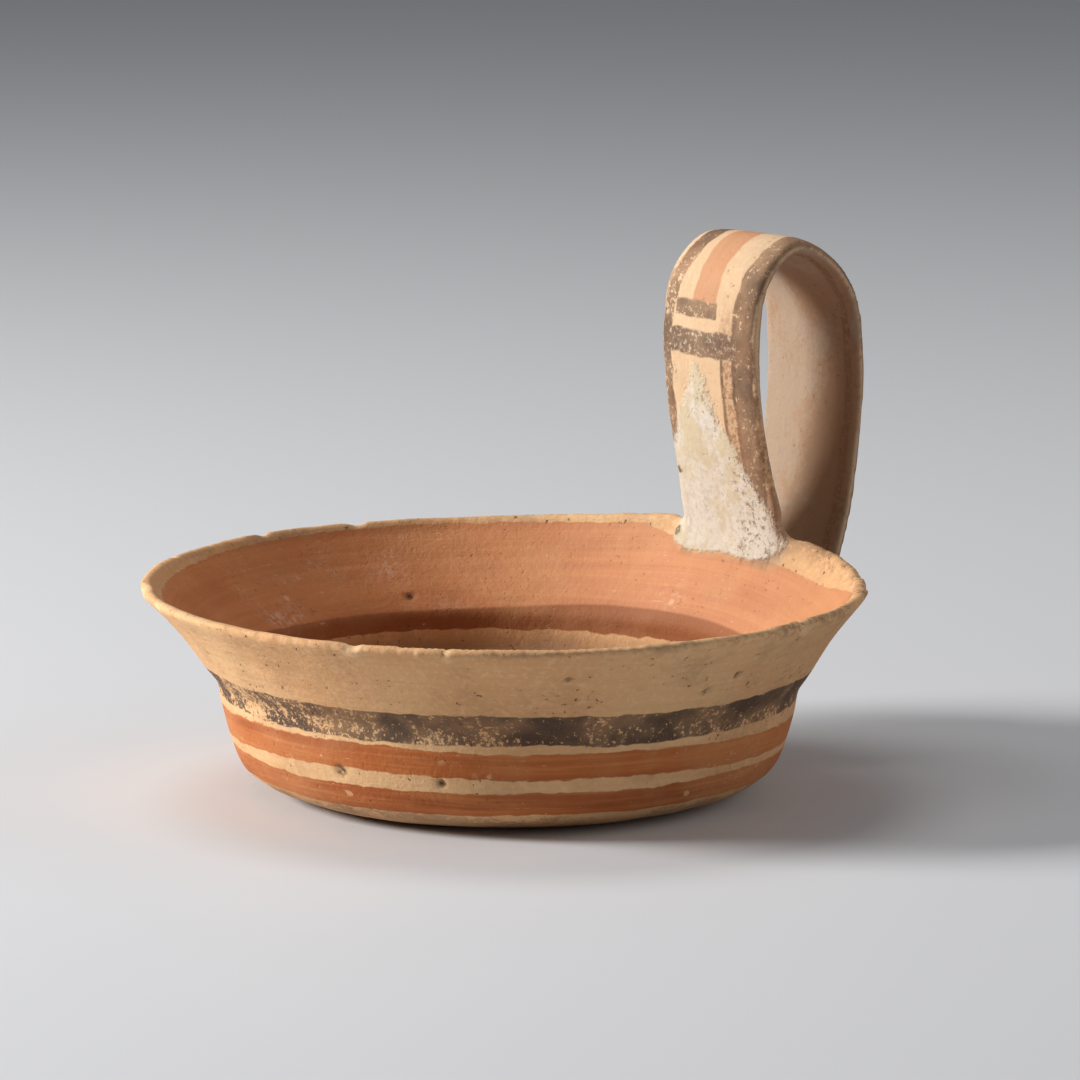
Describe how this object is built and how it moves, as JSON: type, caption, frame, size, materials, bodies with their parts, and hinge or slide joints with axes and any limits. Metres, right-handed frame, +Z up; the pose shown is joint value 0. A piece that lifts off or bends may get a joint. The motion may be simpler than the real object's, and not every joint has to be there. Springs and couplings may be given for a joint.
{
  "type": "kyathos",
  "caption": "Wide shallow dipping cup of painted fired clay with a flat base, a flaring rim and one tall strap handle looping from lip to shoulder.",
  "frame": {"origin": "centre of the flat base, on its underside", "axes": "+Z up through the mouth of the cup; +X towards the strap handle; +Y to the left of the handle seen from inside the cup looking at it"},
  "size_m": [0.1428, 0.131, 0.097],
  "materials": {
    "painted_clay": "matt"
  },
  "bodies": {
    "root": {"kyathos": "painted_clay"}
  },
  "joints": []
}
